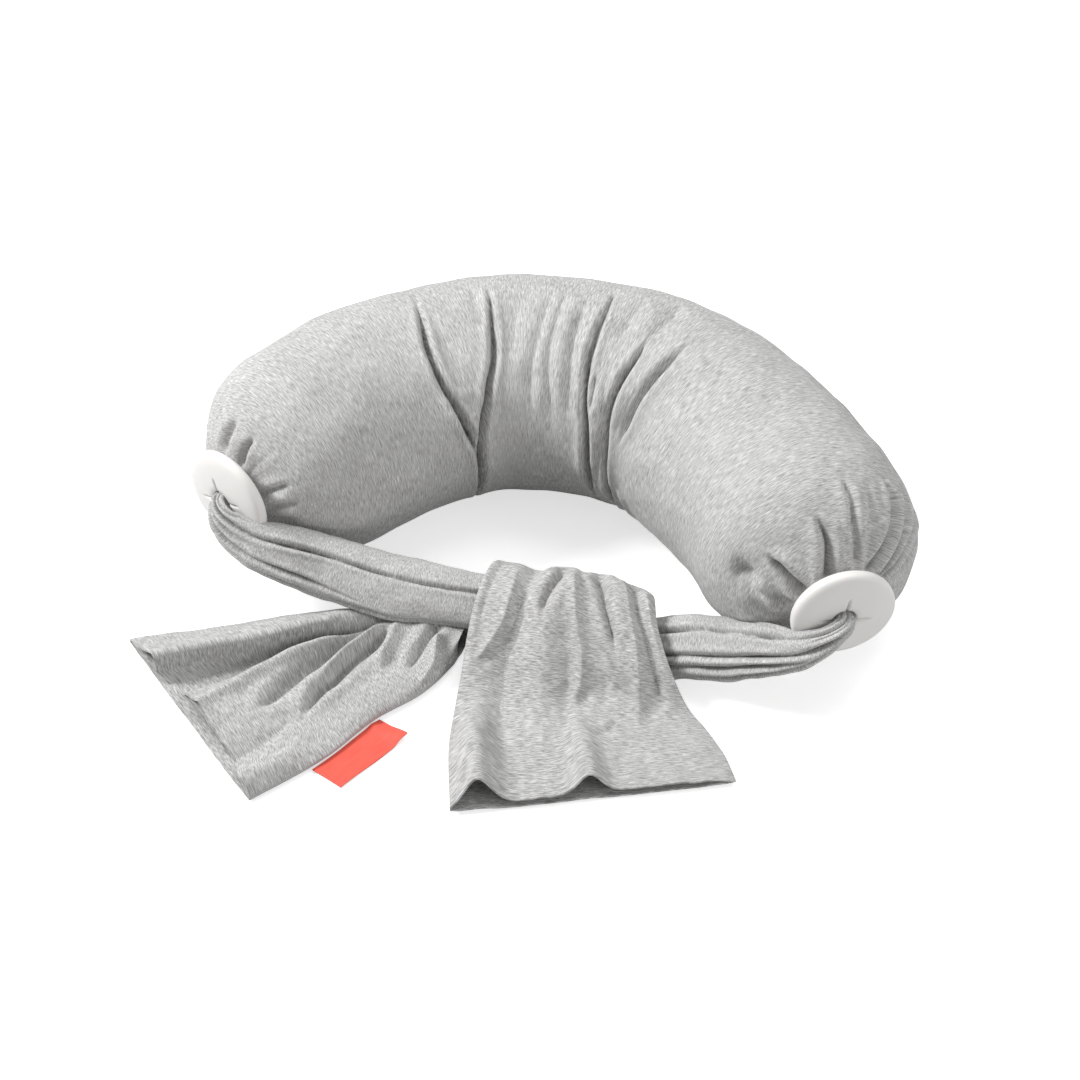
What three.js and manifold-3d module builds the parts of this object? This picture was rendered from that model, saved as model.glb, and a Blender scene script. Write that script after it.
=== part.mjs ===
// Nursing pillow: a bead-filled jersey tube bent into a wide U, drawn in at each end through a
// silicone disc, with its two loose tube ends knotted once across the opening.
// Millimetres. +Z is up, the pillow lies on Z = 0, X = 0 is its plane of symmetry and the
// opening looks towards -Y. The origin is on the floor, under the middle of the back section.
import * as THREE from "three";
import { mergeVertices } from "three/addons/utils/BufferGeometryUtils.js";
import Module from "manifold-3d";

const wasm = await Module();
wasm.setup();

// ---- Driving dimensions -------------------------------------------------------------------

const TUBE_RADIUS = 99; // outside of the filled tube
const TUBE_FLATTEN = 0.99; // height of the tube's section over its width
const AXIS_HEIGHT = 94; // height of the tube's centre line, so its underside rests flat
const SIDES = 20; // flat faces round the tube

// One half of the U from its middle: arcs of a given length and turn.
const BACK_ARC = { length: 57, turn: THREE.MathUtils.degToRad(11.8) };
const CREASE_ARC = { length: 70, turn: THREE.MathUtils.degToRad(25.8) };
const ARM_ARC = { length: 228.5, turn: THREE.MathUtils.degToRad(25) };
const HALF_ARCS = [BACK_ARC, CREASE_ARC, ARM_ARC];
const HALF_LENGTH = BACK_ARC.length + CREASE_ARC.length + ARM_ARC.length;
const CREASE_START = BACK_ARC.length;
const CREASE_END = BACK_ARC.length + CREASE_ARC.length;

// The rounded end of each arm, a superellipse from the full radius down to the neck.
const CAP_LENGTH = 102.7;
const CAP_POWER = 2.6;
const CAP_ROOT = 2.2;
const CAP_STEPS = [0, 0.3, 0.5, 0.67, 0.8, 0.89, 0.95, 0.985];
const NECK_RADIUS = 13;

// Layers from the outside in, each given by how far its two faces lie under the outside.
const COVER = { outside: 0, inside: 1.4 };
const LINER = { outside: 2.0, inside: 3.2 };
const FILL_INSET = 3.8;
const GAP = 0.3; // between two cut edges that meet

// The gathered neck of jersey and the disc that it runs through.
const GATHER_RADIUS = 10.6;
const GATHER_LENGTH = 27.5;
const DISC = {
  radius: 45,
  thickness: 20,
  edge: 5,
  hole: 12.2,
  inner: 1,
  slits: 4,
  slitLength: 17,
  slitWidth: 1.6,
};

const JERSEY_COLOUR = 0xb9b9b9;

// ---- Materials ----------------------------------------------------------------------------

const makeMaterial = (color, roughness) =>
  new THREE.MeshStandardMaterial({ color, roughness, metalness: 0 });

const jersey = () => makeMaterial(JERSEY_COLOUR, 0.9);
const liningCotton = () => makeMaterial(0xf1efe9, 0.9);
const beads = () => makeMaterial(0xfafafa, 0.6);
const silicone = () => makeMaterial(0xe2dedb, 0.5);
const labelTape = () => makeMaterial(0xee5b4a, 0.8);

// ---- The centre line ----------------------------------------------------------------------

// Place and heading on the centre line, s millimetres from the middle of the back, s < 0 on
// the left. The heading is the angle from +X of a walk from left to right.
function spineAt(s) {
  let left = Math.abs(s);
  let heading = 0;
  const at = new THREE.Vector2(0, 0);
  for (const arc of HALF_ARCS) {
    const step = arc === ARM_ARC ? left : Math.min(left, arc.length);
    const turn = (arc.turn * step) / arc.length;
    const radius = arc.length / arc.turn;
    at.x += radius * (Math.sin(heading + turn) - Math.sin(heading));
    at.y += radius * (Math.cos(heading + turn) - Math.cos(heading));
    heading += turn;
    left -= step;
    if (left <= 0) break;
  }
  const side = s < 0 ? -1 : 1;
  return { x: side * at.x, y: at.y, heading: -side * heading };
}

// A point off the straight neck line past the end of one arm, along millimetres out.
function neckPoint(side, along) {
  const end = spineAt(side * HALF_LENGTH);
  const out = neckDirection(side);
  return new THREE.Vector3(end.x, end.y, AXIS_HEIGHT).addScaledVector(out, along);
}

function neckDirection(side) {
  const { heading } = spineAt(side * HALF_LENGTH);
  return new THREE.Vector3(Math.cos(heading), Math.sin(heading), 0).multiplyScalar(side);
}

// ---- Lofting ------------------------------------------------------------------------------

// A closed mesh through rings with equal numbers of points. A shell's rings close on
// themselves like a torus, and a solid's first and last ring are capped. The inner half of a
// shell walks back along its rings, so its quads split on the other diagonal: then every
// layer bends along the same lines and nested layers stay clear of each other.
function loft(rings, isShell) {
  const count = rings[0].length;
  const points = rings.flat();
  const faces = [];
  const last = isShell ? rings.length : rings.length - 1;
  for (let i = 0; i < last; i++) {
    const next = (i + 1) % rings.length;
    for (let k = 0; k < count; k++) {
      const a = i * count + k;
      const b = i * count + ((k + 1) % count);
      const c = next * count + k;
      const d = next * count + ((k + 1) % count);
      const isInner = isShell && i >= rings.length / 2;
      faces.push(...(isInner ? [a, b, c, b, d, c] : [a, b, d, a, d, c]));
    }
  }
  if (!isShell) {
    capRing(points, faces, 0, count, true);
    capRing(points, faces, (rings.length - 1) * count, count, false);
  }
  const geometry = new THREE.BufferGeometry().setFromPoints(points);
  geometry.setIndex(facingOut(points, faces));
  return geometry;
}

function capRing(points, faces, start, count, reverse) {
  const middle = new THREE.Vector3();
  for (let k = 0; k < count; k++) middle.addScaledVector(points[start + k], 1 / count);
  const centre = points.push(middle) - 1;
  for (let k = 0; k < count; k++) {
    const a = start + k;
    const b = start + ((k + 1) % count);
    if (reverse) faces.push(centre, b, a);
    else faces.push(centre, a, b);
  }
}

// The faces, turned round if they enclose a negative volume.
function facingOut(points, faces) {
  let volume = 0;
  for (let i = 0; i < faces.length; i += 3) {
    const [a, b, c] = [points[faces[i]], points[faces[i + 1]], points[faces[i + 2]]];
    volume += a.dot(b.clone().cross(c));
  }
  return volume > 0 ? faces : faces.reverse();
}

// ---- The filled tube ----------------------------------------------------------------------

// One ring of the tube, inset under the outside and pressed flat where it meets the floor.
function tubeRing(s, radius, inset) {
  const { x, y, heading } = spineAt(s);
  const ring = [];
  for (let k = 0; k < SIDES; k++) {
    const angle = (2 * Math.PI * (k + 0.5)) / SIDES;
    const across = radius * Math.cos(angle);
    const up = radius * TUBE_FLATTEN * Math.sin(angle);
    const z = Math.max(AXIS_HEIGHT + up, inset);
    ring.push(
      new THREE.Vector3(x - across * Math.sin(heading), y + across * Math.cos(heading), z),
    );
  }
  return ring;
}

// Rings of an even stretch of tube from one place on the centre line to another.
function plainRings(from, to, steps, inset) {
  return Array.from({ length: steps + 1 }, (_, i) =>
    tubeRing(from + ((to - from) * i) / steps, TUBE_RADIUS - inset, inset),
  );
}

// Rings of one arm from its crease to its rounded end, which stops at the neck.
function armRings(side, inset, endRadius) {
  const end = HALF_LENGTH - inset;
  const cap = CAP_LENGTH - inset;
  const full = TUBE_RADIUS - inset;
  const rings = plainRings(side * (CREASE_END + GAP), side * (end - cap), 4, inset).slice(0, -1);
  for (const t of CAP_STEPS) {
    const radius = full * Math.pow(1 - Math.pow(t, CAP_POWER), 1 / CAP_ROOT);
    rings.push(tubeRing(side * (end - cap * (1 - t)), radius, inset));
  }
  rings.push(tubeRing(side * end, endRadius, inset));
  return rings;
}

// A shell between two faces, given the rings of either face as a function of the inset.
const shell = (layer, ringsAt) =>
  loft([...ringsAt(layer.outside), ...ringsAt(layer.inside).reverse()], true);

const armShell = (side, layer) =>
  shell(layer, (inset) => armRings(side, inset, NECK_RADIUS - inset));

const backShell = (layer) =>
  shell(layer, (inset) => plainRings(-CREASE_START, CREASE_START, 4, inset));

const creaseShell = (side, layer) =>
  shell(layer, (inset) =>
    plainRings(side * (CREASE_START + GAP), side * CREASE_END, 4, inset),
  );

// The liner's sewn end, a plug that closes the small hole where the arm meets the neck.
function linerEnd(side) {
  const radius = NECK_RADIUS - COVER.inside - 1;
  const along = (distance) => tubeRing(side * (HALF_LENGTH - distance), radius, 0);
  return loft([along(GAP + COVER.outside), along(COVER.inside)], false);
}

// ---- Necks and discs ----------------------------------------------------------------------

// A ring of gathered fabric square to a direction.
function roundRing(centre, direction, radiusAcross, radiusUp, sides, lean = 0) {
  const up = new THREE.Vector3(0, 0, 1);
  const across = new THREE.Vector3().crossVectors(direction, up).normalize();
  const upright = new THREE.Vector3().crossVectors(across, direction).normalize();
  return Array.from({ length: sides }, (_, k) => {
    const angle = (2 * Math.PI * k) / sides;
    const a = radiusAcross * Math.cos(angle);
    const b = radiusUp * Math.sin(angle);
    return centre
      .clone()
      .addScaledVector(across, a * Math.cos(lean) - b * Math.sin(lean))
      .addScaledVector(upright, a * Math.sin(lean) + b * Math.cos(lean));
  });
}

function neck(side) {
  const direction = neckDirection(side);
  const rings = [GAP, GATHER_LENGTH].map((along) =>
    roundRing(neckPoint(side, along), direction, GATHER_RADIUS, GATHER_RADIUS, 12),
  );
  return loft(rings, false);
}

// Half of the disc's profile, from the hole's edge to the rim: a lens with a rounded edge.
function discProfile() {
  const half = DISC.thickness / 2;
  const shoulder = DISC.radius - DISC.edge;
  const face = new THREE.QuadraticBezierCurve(
    new THREE.Vector2(DISC.hole, half),
    new THREE.Vector2(shoulder * 0.8, half),
    new THREE.Vector2(shoulder, DISC.edge * 1.2),
  ).getPoints(4);
  const rim = new THREE.QuadraticBezierCurve(
    face[face.length - 1],
    new THREE.Vector2(DISC.radius, DISC.edge * 0.8),
    new THREE.Vector2(DISC.radius, 0),
  ).getPoints(3);
  return [...face, ...rim.slice(1)];
}

// A silicone disc with its hole and the slits that let the jersey through.
function disc() {
  const upper = discProfile();
  const lower = upper.slice(0, -1).map((p) => new THREE.Vector2(p.x, -p.y));
  const outline = [...lower, ...upper.reverse(), lower[0]];
  let body = solidOf(new THREE.LatheGeometry(outline, 32));
  for (let i = 0; i < DISC.slits; i++) {
    const slit = new THREE.BoxGeometry(DISC.slitLength, DISC.thickness * 2, DISC.slitWidth);
    slit.translate(DISC.hole - 1 + DISC.slitLength / 2, 0, 0);
    slit.rotateY((2 * Math.PI * (i + 0.5)) / DISC.slits);
    body = body.subtract(solidOf(slit));
  }
  return geometryOf(body);
}

// ---- Booleans -----------------------------------------------------------------------------

function solidOf(geometry) {
  geometry.deleteAttribute("normal");
  geometry.deleteAttribute("uv");
  const merged = mergeVertices(geometry, 1e-3);
  return new wasm.Manifold(
    new wasm.Mesh({
      numProp: 3,
      vertProperties: merged.attributes.position.array,
      triVerts: new Uint32Array(merged.index.array),
    }),
  );
}

function geometryOf(solid) {
  const made = solid.getMesh();
  return new THREE.BufferGeometry()
    .setAttribute("position", new THREE.BufferAttribute(made.vertProperties, 3))
    .setIndex(new THREE.BufferAttribute(made.triVerts, 1));
}

// ---- Ties ---------------------------------------------------------------------------------

// Each tie is the empty tube drawn to the knot. Its stops are places on its centre line with
// the half width across and the half height there, and lean turns the section about the line.
const LEFT_TIE = [
  { at: [-283, -248, 91], across: 11, up: 10 },
  { at: [-281, -262, 86], across: 14, up: 11 },
  { at: [-258, -268, 78], across: 19, up: 11 },
  { at: [-228, -262, 68], across: 23, up: 12 },
  { at: [-192, -250, 58], across: 26, up: 13 },
  { at: [-158, -241, 50], across: 28, up: 14 },
  { at: [-118, -239, 42], across: 28, up: 14 },
  { at: [-73, -235, 38], across: 26, up: 12 },
  { at: [-30, -229, 36], across: 22, up: 10 },
  { at: [5, -225, 36], across: 19, up: 9.5 },
  { at: [46, -225, 36], across: 18, up: 9.5 },
];
const RIGHT_TIE = [
  { at: [283, -248, 91], across: 11, up: 10 },
  { at: [280, -262, 86], across: 13, up: 11 },
  { at: [256, -267, 76], across: 17, up: 12 },
  { at: [226, -260, 62], across: 23, up: 13 },
  { at: [188, -245, 46], across: 27, up: 14 },
  { at: [152, -236, 35], across: 28, up: 15 },
  { at: [118, -234, 25], across: 27, up: 14 },
  { at: [75, -235, 17], across: 24, up: 12 },
  { at: [30, -239, 13], across: 21, up: 9.5 },
  { at: [-10, -246, 12.5], across: 20, up: 9 },
  { at: [-44, -254, 13], across: 17, up: 9 },
];
const TIE_LEAN = THREE.MathUtils.degToRad(38);
const TIE_STEPS = 22;
const TIE_SIDES = 12;

// A tie turns its broad side up on the floor and leans it against the way down from the disc.
function tie(stops, side) {
  const curve = new THREE.CatmullRomCurve3(stops.map((stop) => new THREE.Vector3(...stop.at)));
  const rings = [];
  for (let i = 0; i <= TIE_STEPS; i++) {
    const t = i / TIE_STEPS;
    const place = t * (stops.length - 1);
    const low = Math.min(Math.floor(place), stops.length - 2);
    const share = place - low;
    const across = THREE.MathUtils.lerp(stops[low].across, stops[low + 1].across, share);
    const up = THREE.MathUtils.lerp(stops[low].up, stops[low + 1].up, share);
    const lean = side * TIE_LEAN * Math.sin(Math.PI * Math.min(t * 1.5, 1));
    rings.push(roundRing(curve.getPoint(t), curve.getTangent(t), across, up, TIE_SIDES, lean));
  }
  return loft(rings, false);
}

// ---- Tails --------------------------------------------------------------------------------

// Past the knot each tie is a loose flat tube. Its stops give its two edges and how thick the
// two layers and their folds lie there. The front tail rises behind the ties, folds over them
// and falls forward, and the side tail lies on the floor and fans out to the left.
const FRONT_TAIL = [
  { left: [-22, -195, 10], right: [88, -193, 10], thick: 9 },
  { left: [-27, -194, 34], right: [96, -192, 32], thick: 9 },
  { left: [-33, -199, 54], right: [103, -197, 50], thick: 9 },
  { left: [-37, -216, 62], right: [110, -210, 59], thick: 9 },
  { left: [-39, -246, 58], right: [119, -236, 53], thick: 9 },
  { left: [-39, -276, 38], right: [136, -264, 38], thick: 9 },
  { left: [-37, -306, 14], right: [157, -284, 14], thick: 10 },
  { left: [-34, -336, 6], right: [178, -300, 6], thick: 12 },
  { left: [-26, -380, 6], right: [198, -322, 6], thick: 12 },
  { left: [-18, -418, 6], right: [208, -334, 6], thick: 12 },
];
const FRONT_HEM = [
  { left: [-17.5, -418.8, 6], right: [208.2, -334.8, 6], thick: 12 },
  { left: [-8, -438, 6], right: [213, -346, 6], thick: 12 },
];
const SIDE_TAIL = [
  { left: [-49, -272, 12], right: [-47, -242, 12], thick: 18 },
  { left: [-51, -287, 9.5], right: [-79, -240, 11], thick: 18 },
  { left: [-66, -322, 9], right: [-128, -242, 10], thick: 18 },
  { left: [-96, -360, 8], right: [-190, -262, 9], thick: 16 },
  { left: [-128, -416, 6], right: [-262, -294, 7], thick: 12 },
  { left: [-159, -458, 5], right: [-317, -319, 5], thick: 10 },
];
const SIDE_HEM = [
  { left: [-159.6, -458.8, 5], right: [-317.6, -319.8, 5], thick: 10 },
  { left: [-170, -469, 4.5], right: [-330, -328, 4.5], thick: 9 },
];
const TAIL_EDGE = 0.12; // share of the width over which an edge thins out

// One section of a tail: six points, thin at both edges.
function tailRing(stop, normal) {
  const left = new THREE.Vector3(...stop.left);
  const right = new THREE.Vector3(...stop.right);
  const half = stop.thick / 2;
  const point = (share, lift) => left.clone().lerp(right, share).addScaledVector(normal, lift);
  return [
    point(0, 0),
    point(TAIL_EDGE, half),
    point(1 - TAIL_EDGE, half),
    point(1, 0),
    point(1 - TAIL_EDGE, -half),
    point(TAIL_EDGE, -half),
  ];
}

// The normal at a stop, square to the way across and to the way along its neighbours.
function tailNormal(stops, i) {
  const middle = (stop) =>
    new THREE.Vector3(...stop.left).lerp(new THREE.Vector3(...stop.right), 0.5);
  const before = middle(stops[Math.max(i - 1, 0)]);
  const after = middle(stops[Math.min(i + 1, stops.length - 1)]);
  const across = new THREE.Vector3(...stops[i].right).sub(new THREE.Vector3(...stops[i].left));
  return new THREE.Vector3().crossVectors(across, after.sub(before)).normalize();
}

const tail = (stops) => loft(stops.map((stop, i) => tailRing(stop, tailNormal(stops, i))), false);

// ---- Side label ---------------------------------------------------------------------------

// A folded tape sewn into the side tail's lower edge, lying flat on the floor.
const LABEL = { length: 77, width: 29, thickness: 1.4 };
const LABEL_SEAM = { from: [-92.5, -356], to: [-129, -421.5] };

function label() {
  const tape = new THREE.BoxGeometry(LABEL.length, LABEL.width, LABEL.thickness);
  const from = new THREE.Vector2(...LABEL_SEAM.from);
  const along = new THREE.Vector2(...LABEL_SEAM.to).sub(from).normalize();
  const out = new THREE.Vector2(-along.y, along.x);
  const middle = from
    .clone()
    .addScaledVector(along, LABEL.length / 2)
    .addScaledVector(out, LABEL.width / 2 + 1);
  tape.rotateZ(Math.atan2(along.y, along.x));
  tape.translate(middle.x, middle.y, LABEL.thickness / 2);
  return tape;
}

// ---- Assembly -----------------------------------------------------------------------------

const pillow = new THREE.Group();

function add(name, geometry, material) {
  const mesh = new THREE.Mesh(geometry, material);
  mesh.name = name;
  pillow.add(mesh);
  return mesh;
}

add("bead_fill_centre", loft(plainRings(-CREASE_START, CREASE_START, 4, FILL_INSET)), beads());
add("liner_centre", backShell(LINER), liningCotton());
add("cover_centre", backShell(COVER), jersey());

for (const [name, side] of Object.entries({ left: -1, right: 1 })) {
  add("bead_fill_" + name + "_arm", loft(armRings(side, FILL_INSET, 6)), beads());
  add("liner_" + name + "_arm", armShell(side, LINER), liningCotton());
  add("liner_end_" + name, linerEnd(side), liningCotton());
  add("cover_" + name + "_arm", armShell(side, COVER), jersey());
  add("cover_crease_" + name, creaseShell(side, COVER), jersey());
  add("cover_neck_" + name, neck(side), jersey());

  const ring = add("disc_" + name, disc(), silicone());
  ring.position.copy(neckPoint(side, DISC.inner + DISC.thickness / 2));
  ring.quaternion.setFromUnitVectors(new THREE.Vector3(0, 1, 0), neckDirection(side));
}

add("tie_left", tie(LEFT_TIE, -1), jersey());
add("tie_right", tie(RIGHT_TIE, 1), jersey());
add("tail_front", tail(FRONT_TAIL), jersey());
add("tail_front_hem", tail(FRONT_HEM), jersey());
add("tail_side", tail(SIDE_TAIL), jersey());
add("tail_side_hem", tail(SIDE_HEM), jersey());
add("side_label", label(), labelTape());

export default pillow;
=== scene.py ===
"""Looks of the nursing pillow: its jersey cover, discs, ties, tails and side label.

Lengths are millimetres until a mesh is made, in the same frame as the CAD part.
"""

import math

import bmesh
import bpy
import numpy as np
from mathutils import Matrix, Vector


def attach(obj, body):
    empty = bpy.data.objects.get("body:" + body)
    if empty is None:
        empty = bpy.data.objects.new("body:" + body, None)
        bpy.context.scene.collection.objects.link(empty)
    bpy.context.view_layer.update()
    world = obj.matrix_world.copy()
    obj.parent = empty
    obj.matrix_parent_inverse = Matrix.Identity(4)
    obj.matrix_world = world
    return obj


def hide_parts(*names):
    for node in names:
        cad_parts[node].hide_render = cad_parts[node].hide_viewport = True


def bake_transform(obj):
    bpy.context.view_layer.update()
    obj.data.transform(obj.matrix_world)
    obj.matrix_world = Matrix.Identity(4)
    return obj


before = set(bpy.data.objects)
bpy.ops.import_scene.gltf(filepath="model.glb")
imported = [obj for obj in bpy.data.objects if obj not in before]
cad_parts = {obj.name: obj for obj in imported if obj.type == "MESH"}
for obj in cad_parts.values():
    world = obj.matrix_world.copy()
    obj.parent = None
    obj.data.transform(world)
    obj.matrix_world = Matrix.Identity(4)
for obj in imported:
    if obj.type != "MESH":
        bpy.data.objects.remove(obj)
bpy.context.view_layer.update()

# ---- Driving dimensions, as in part.mjs ----

METRE = 0.001
TUBE_RADIUS = 99.0
TUBE_FLATTEN = 0.99
AXIS_HEIGHT = 94.0
BACK_ARC = (57.0, math.radians(11.8))
CREASE_ARC = (70.0, math.radians(25.8))
ARM_ARC = (228.5, math.radians(25.0))
HALF_ARCS = (BACK_ARC, CREASE_ARC, ARM_ARC)
HALF_LENGTH = sum(length for length, _ in HALF_ARCS)
CAP_LENGTH = 102.7
CAP_POWER = 2.6
CAP_ROOT = 2.2
NECK_RADIUS = 8.6
NECK_LENGTH = 14.0
DISC_RADIUS = 45.0
DISC_ALONG = 11.0  # from the end of the arm to the middle of the disc
SIDES = {"left": -1, "right": 1}

# ---- Camera, light and floor ----

CAMERA_AZIMUTH = 14.917
CAMERA_ELEVATION = 45.159
CAMERA_DISTANCE = 2.2602
CAMERA_TARGET = Vector((-0.0039, -0.1647, 0.0561))
CAMERA_LENS = 85.9
LAMP_TARGET = Vector((0, -0.15, 0.05))
# Round lamps: name, azimuth, elevation, distance and size in metres, power in watts.
SOFTBOXES = (
    ("key", -86, 42, 5.2, 1.7, 285),
    ("top", 150, 72, 4.5, 2.4, 62),
    ("right", 74, 24, 4.5, 2.2, 48),
)
SKY_STRENGTH = 0.28
FLOOR_SIZE = 14
FLOOR_GLOW = 0.65


def look_from(obj, azimuth, elevation, distance, target):
    """Put a camera or lamp on a sphere round target, facing it. Azimuth 0 looks along +Y."""
    a = math.radians(azimuth)
    e = math.radians(elevation)
    back = Vector((math.sin(a) * math.cos(e), -math.cos(a) * math.cos(e), math.sin(e)))
    obj.location = target + back * distance
    obj.rotation_euler = back.to_track_quat("Z", "Y").to_euler()


def add_camera():
    data = bpy.data.cameras.new("camera")
    data.lens = CAMERA_LENS
    data.clip_end = 20.0
    camera = bpy.data.objects.new("camera", data)
    bpy.context.scene.collection.objects.link(camera)
    look_from(camera, CAMERA_AZIMUTH, CAMERA_ELEVATION, CAMERA_DISTANCE, CAMERA_TARGET)
    bpy.context.scene.camera = camera


def add_softbox(name, azimuth, elevation, distance, size, power):
    data = bpy.data.lights.new(name, "AREA")
    data.shape = "DISK"
    data.size = size
    data.energy = power
    lamp = bpy.data.objects.new(name, data)
    bpy.context.scene.collection.objects.link(lamp)
    look_from(lamp, azimuth, elevation, distance, LAMP_TARGET)


def add_stage():
    """A white studio: an even sky, a key lamp from the left, two weak fills and a plain floor."""
    scene = bpy.context.scene
    scene.view_settings.view_transform = "Standard"
    world = bpy.data.worlds.new("studio")
    world.use_nodes = True
    world.node_tree.nodes["Background"].inputs["Color"].default_value = (1, 1, 1, 1)
    world.node_tree.nodes["Background"].inputs["Strength"].default_value = SKY_STRENGTH
    scene.world = world
    for softbox in SOFTBOXES:
        add_softbox(*softbox)
    bpy.ops.mesh.primitive_plane_add(size=FLOOR_SIZE, location=(0, 0, 0))
    floor = bpy.context.object
    floor.name = "studio_floor"
    floor.data.materials.append(floor_material())


# ---- Shader helpers ----


def new_material(name):
    material = bpy.data.materials.new(name)
    material.use_nodes = True
    tree = material.node_tree
    return material, tree, tree.nodes["Principled BSDF"]


def node(tree, kind, **settings):
    """A new shader node with its settings: values of inputs by their labels, or properties."""
    made = tree.nodes.new(kind)
    for key, value in settings.items():
        if key in made.inputs:
            made.inputs[key].default_value = value
        else:
            setattr(made, key, value)
    return made


def cloth_coordinates(tree, around, along):
    """Place on the cloth, times a scale round the tube and a scale along it, in cells per metre."""
    place = node(tree, "ShaderNodeUVMap", uv_map="cloth")
    mapping = node(tree, "ShaderNodeMapping")
    mapping.inputs["Scale"].default_value = (around, along, 1)
    tree.links.new(place.outputs["UV"], mapping.inputs["Vector"])
    return mapping.outputs["Vector"]


def noise(tree, vector, scale, detail=2.0, roughness=0.5):
    made = node(tree, "ShaderNodeTexNoise", Scale=scale, Detail=detail, Roughness=roughness)
    tree.links.new(vector, made.inputs["Vector"])
    return made.outputs["Fac"]


def ramp(tree, value, low, high, dark, light):
    """Colour from dark at value low to light at value high."""
    made = node(tree, "ShaderNodeValToRGB")
    made.color_ramp.elements[0].position = low
    made.color_ramp.elements[1].position = high
    made.color_ramp.elements[0].color = (*dark, 1)
    made.color_ramp.elements[1].color = (*light, 1)
    tree.links.new(value, made.inputs["Fac"])
    return made.outputs["Color"]


def blend_colours(tree, a, b, factor, kind="MIX"):
    made = node(tree, "ShaderNodeMix", data_type="RGBA", blend_type=kind)
    made.inputs["Factor"].default_value = factor
    tree.links.new(a, made.inputs["A"])
    tree.links.new(b, made.inputs["B"])
    return made.outputs["Result"]


def set_surface(tree, shader, colour, values):
    """Link the base colour, and set the shader's own sockets by their labels."""
    tree.links.new(colour, shader.inputs["Base Color"])
    for label, value in values.items():
        shader.inputs[label].default_value = value


def add_bumps(tree, shader, *heights):
    """Chain bumps, each (height output, strength, distance in metres)."""
    before = None
    for height, strength, distance in heights:
        bump = node(tree, "ShaderNodeBump", Strength=strength, Distance=distance)
        tree.links.new(height, bump.inputs["Height"])
        if before is not None:
            tree.links.new(before, bump.inputs["Normal"])
        before = bump.outputs["Normal"]
    tree.links.new(before, shader.inputs["Normal"])


# ---- Materials ----

# Scales of the jersey's textures. They are finer along the tube, so the streaks run round it.
STREAK_SCALES = (120, 1300)
FLECK_SCALES = (90, 1200)
STRAND_SCALES = (60, 520)
CLOUD_SCALES = (26, 34)
STITCH_SCALES = (620, 900)
STREAK_MIDDLE = 0.505  # value of the noise halfway between the dark and the light fibres
FIBRE_DARK = (0.310, 0.308, 0.302)
FIBRE_LIGHT = (0.660, 0.660, 0.658)
FLECK = (0.95, 0.95, 0.95)
SHADE = (0.82, 0.815, 0.805)
WHITE = (1.0, 1.0, 1.0)


def jersey_material(name, lift=1.0, spread=0.115):
    """Grey heather single jersey: fine light and dark streaks along the courses of the knit.

    lift scales its colours, and a smaller spread sets its streaks off more sharply.
    """
    material, tree, shader = new_material(name)
    fine = noise(tree, cloth_coordinates(tree, *STREAK_SCALES), 1.0, 2.0, 0.6)
    flecks = noise(tree, cloth_coordinates(tree, *FLECK_SCALES), 1.0, 2.0, 0.6)
    strands = noise(tree, cloth_coordinates(tree, *STRAND_SCALES), 1.0, 2.0, 0.5)
    cloud = noise(tree, cloth_coordinates(tree, *CLOUD_SCALES), 1.0, 2.0, 0.5)
    dark = tuple(lift * channel for channel in FIBRE_DARK)
    light = tuple(lift * channel for channel in FIBRE_LIGHT)
    colour = ramp(tree, fine, STREAK_MIDDLE - spread, STREAK_MIDDLE + spread, dark, light)
    streaks = ramp(tree, strands, 0.38, 0.64, dark, light)
    colour = blend_colours(tree, colour, streaks, 0.22)
    bright = ramp(tree, flecks, 0.54, 0.66, dark, FLECK)
    colour = blend_colours(tree, colour, bright, 0.45, "LIGHTEN")
    clouds = ramp(tree, cloud, 0.3, 0.7, SHADE, WHITE)
    colour = blend_colours(tree, colour, clouds, 0.45, "MULTIPLY")
    sheen = {"Sheen Weight": 0.15, "Sheen Roughness": 0.45}
    set_surface(tree, shader, colour, {"Roughness": 0.92, "Specular IOR Level": 0.15, **sheen})
    stitches = node(tree, "ShaderNodeTexVoronoi", Scale=1.0, Randomness=0.35)
    tree.links.new(cloth_coordinates(tree, *STITCH_SCALES), stitches.inputs["Vector"])
    knit = stitches.outputs["Distance"]
    add_bumps(tree, shader, (fine, 0.25, 0.0006), (knit, 0.22, 0.0004))
    return material


def silicone_material():
    """Matt off-white silicone with a faint mould texture and a little depth."""
    material, tree, shader = new_material("silicone_white")
    place = node(tree, "ShaderNodeTexCoord").outputs["Object"]
    soft = noise(tree, place, 18.0, 3.0)
    grain = noise(tree, place, 900.0, 2.0)
    colour = ramp(tree, soft, 0.3, 0.7, (0.775, 0.757, 0.740), (0.805, 0.788, 0.772))
    depth = {
        "Subsurface Weight": 0.15,
        "Subsurface Radius": (0.006, 0.005, 0.004),
        "Subsurface Scale": 0.6,
    }
    set_surface(tree, shader, colour, {"Roughness": 0.42, "Specular IOR Level": 0.4, **depth})
    add_bumps(tree, shader, (grain, 0.08, 0.0003), (soft, 0.1, 0.002))
    return material


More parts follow.
